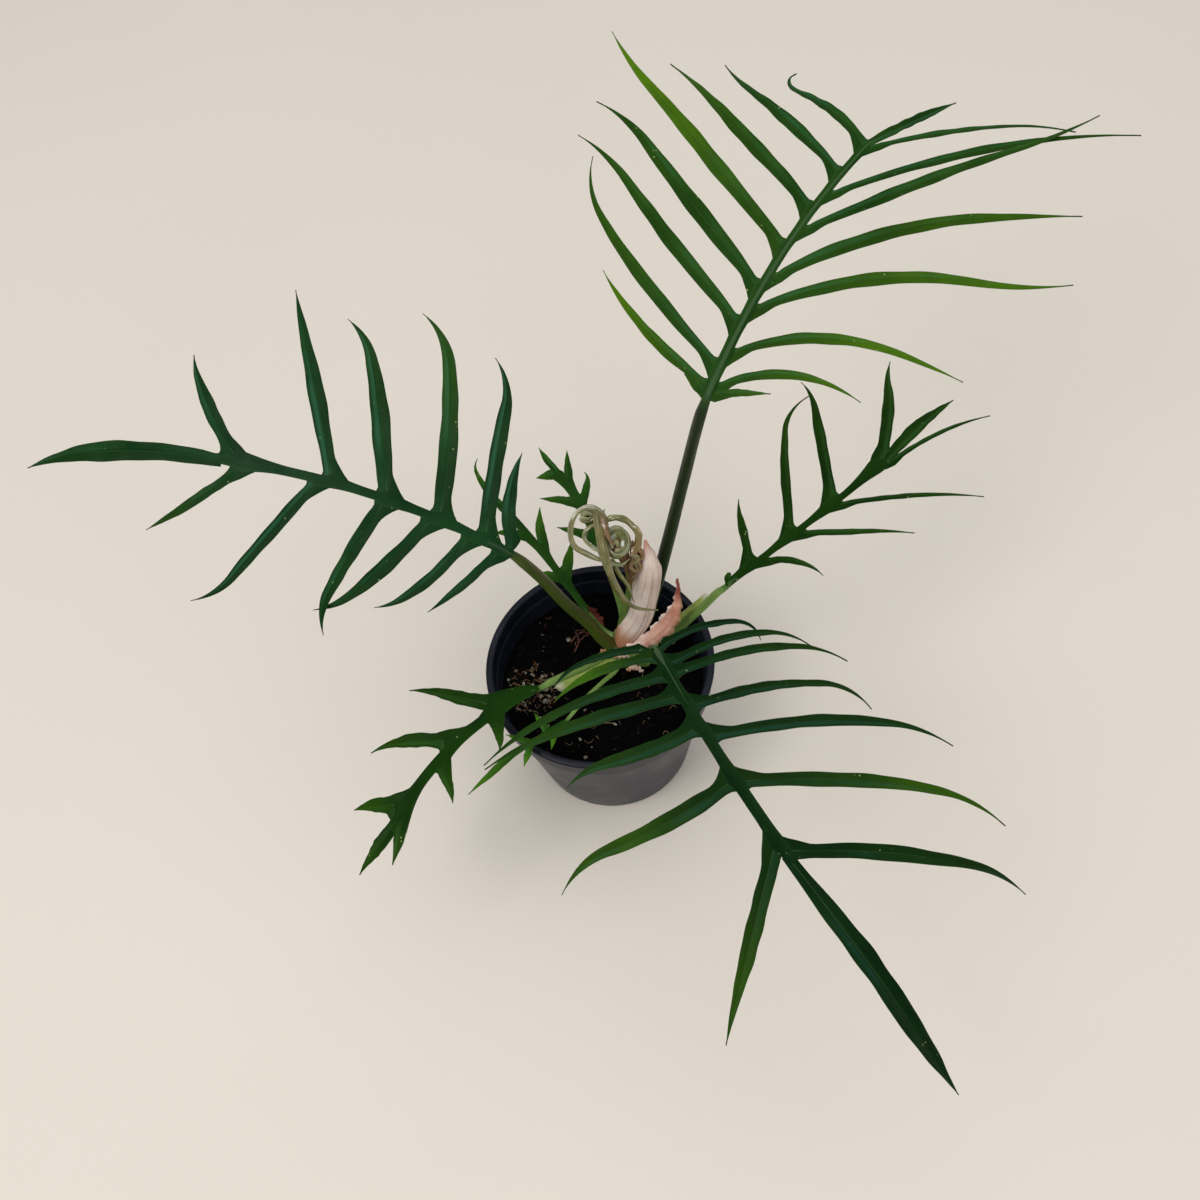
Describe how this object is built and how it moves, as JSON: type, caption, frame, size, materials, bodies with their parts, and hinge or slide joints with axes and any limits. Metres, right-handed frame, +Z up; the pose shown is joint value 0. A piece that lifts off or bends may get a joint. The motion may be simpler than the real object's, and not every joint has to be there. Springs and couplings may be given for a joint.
{
  "type": "potted philodendron tortum",
  "caption": "Young philodendron with deeply cut, comb-like leaves on thin stalks, rooted in soil in a round plastic nursery pot.",
  "frame": {"origin": "middle of the pot's underside, on the surface that the pot stands on", "axes": "+Z up along the pot's axis, -Y towards the viewer of the picture, +X to that viewer's right"},
  "size_m": [0.4843, 0.439, 0.2602],
  "materials": {
    "nursery_plastic": "satin moulded plastic",
    "potting_mix": "damp, crumbly",
    "stem_skin": "smooth, slightly ringed",
    "blade_green": "satin leaf",
    "blade_dark_green": "satin leaf, bluish dark green",
    "blade_young_green": "satin leaf, fresh green",
    "rolled_leaf": "glossy, pale",
    "papery_sheath": "dry, veined",
    "withered_bract": "dry, crumpled"
  },
  "bodies": {
    "root": {"pot": "nursery_plastic", "soil": "potting_mix", "stem": "stem_skin", "leaf_back_right": "blade_green", "leaf_left": "blade_dark_green", "leaf_front": "blade_dark_green", "leaf_right": "blade_green", "leaf_front_left": "blade_green", "leaf_back_left_small": "blade_young_green", "leaf_back_small": "blade_young_green", "leaf_low_small": "blade_young_green", "new_leaf": "rolled_leaf", "cataphyll_standing": "papery_sheath", "cataphyll_curled": "papery_sheath", "dried_bract": "withered_bract"}
  },
  "joints": []
}
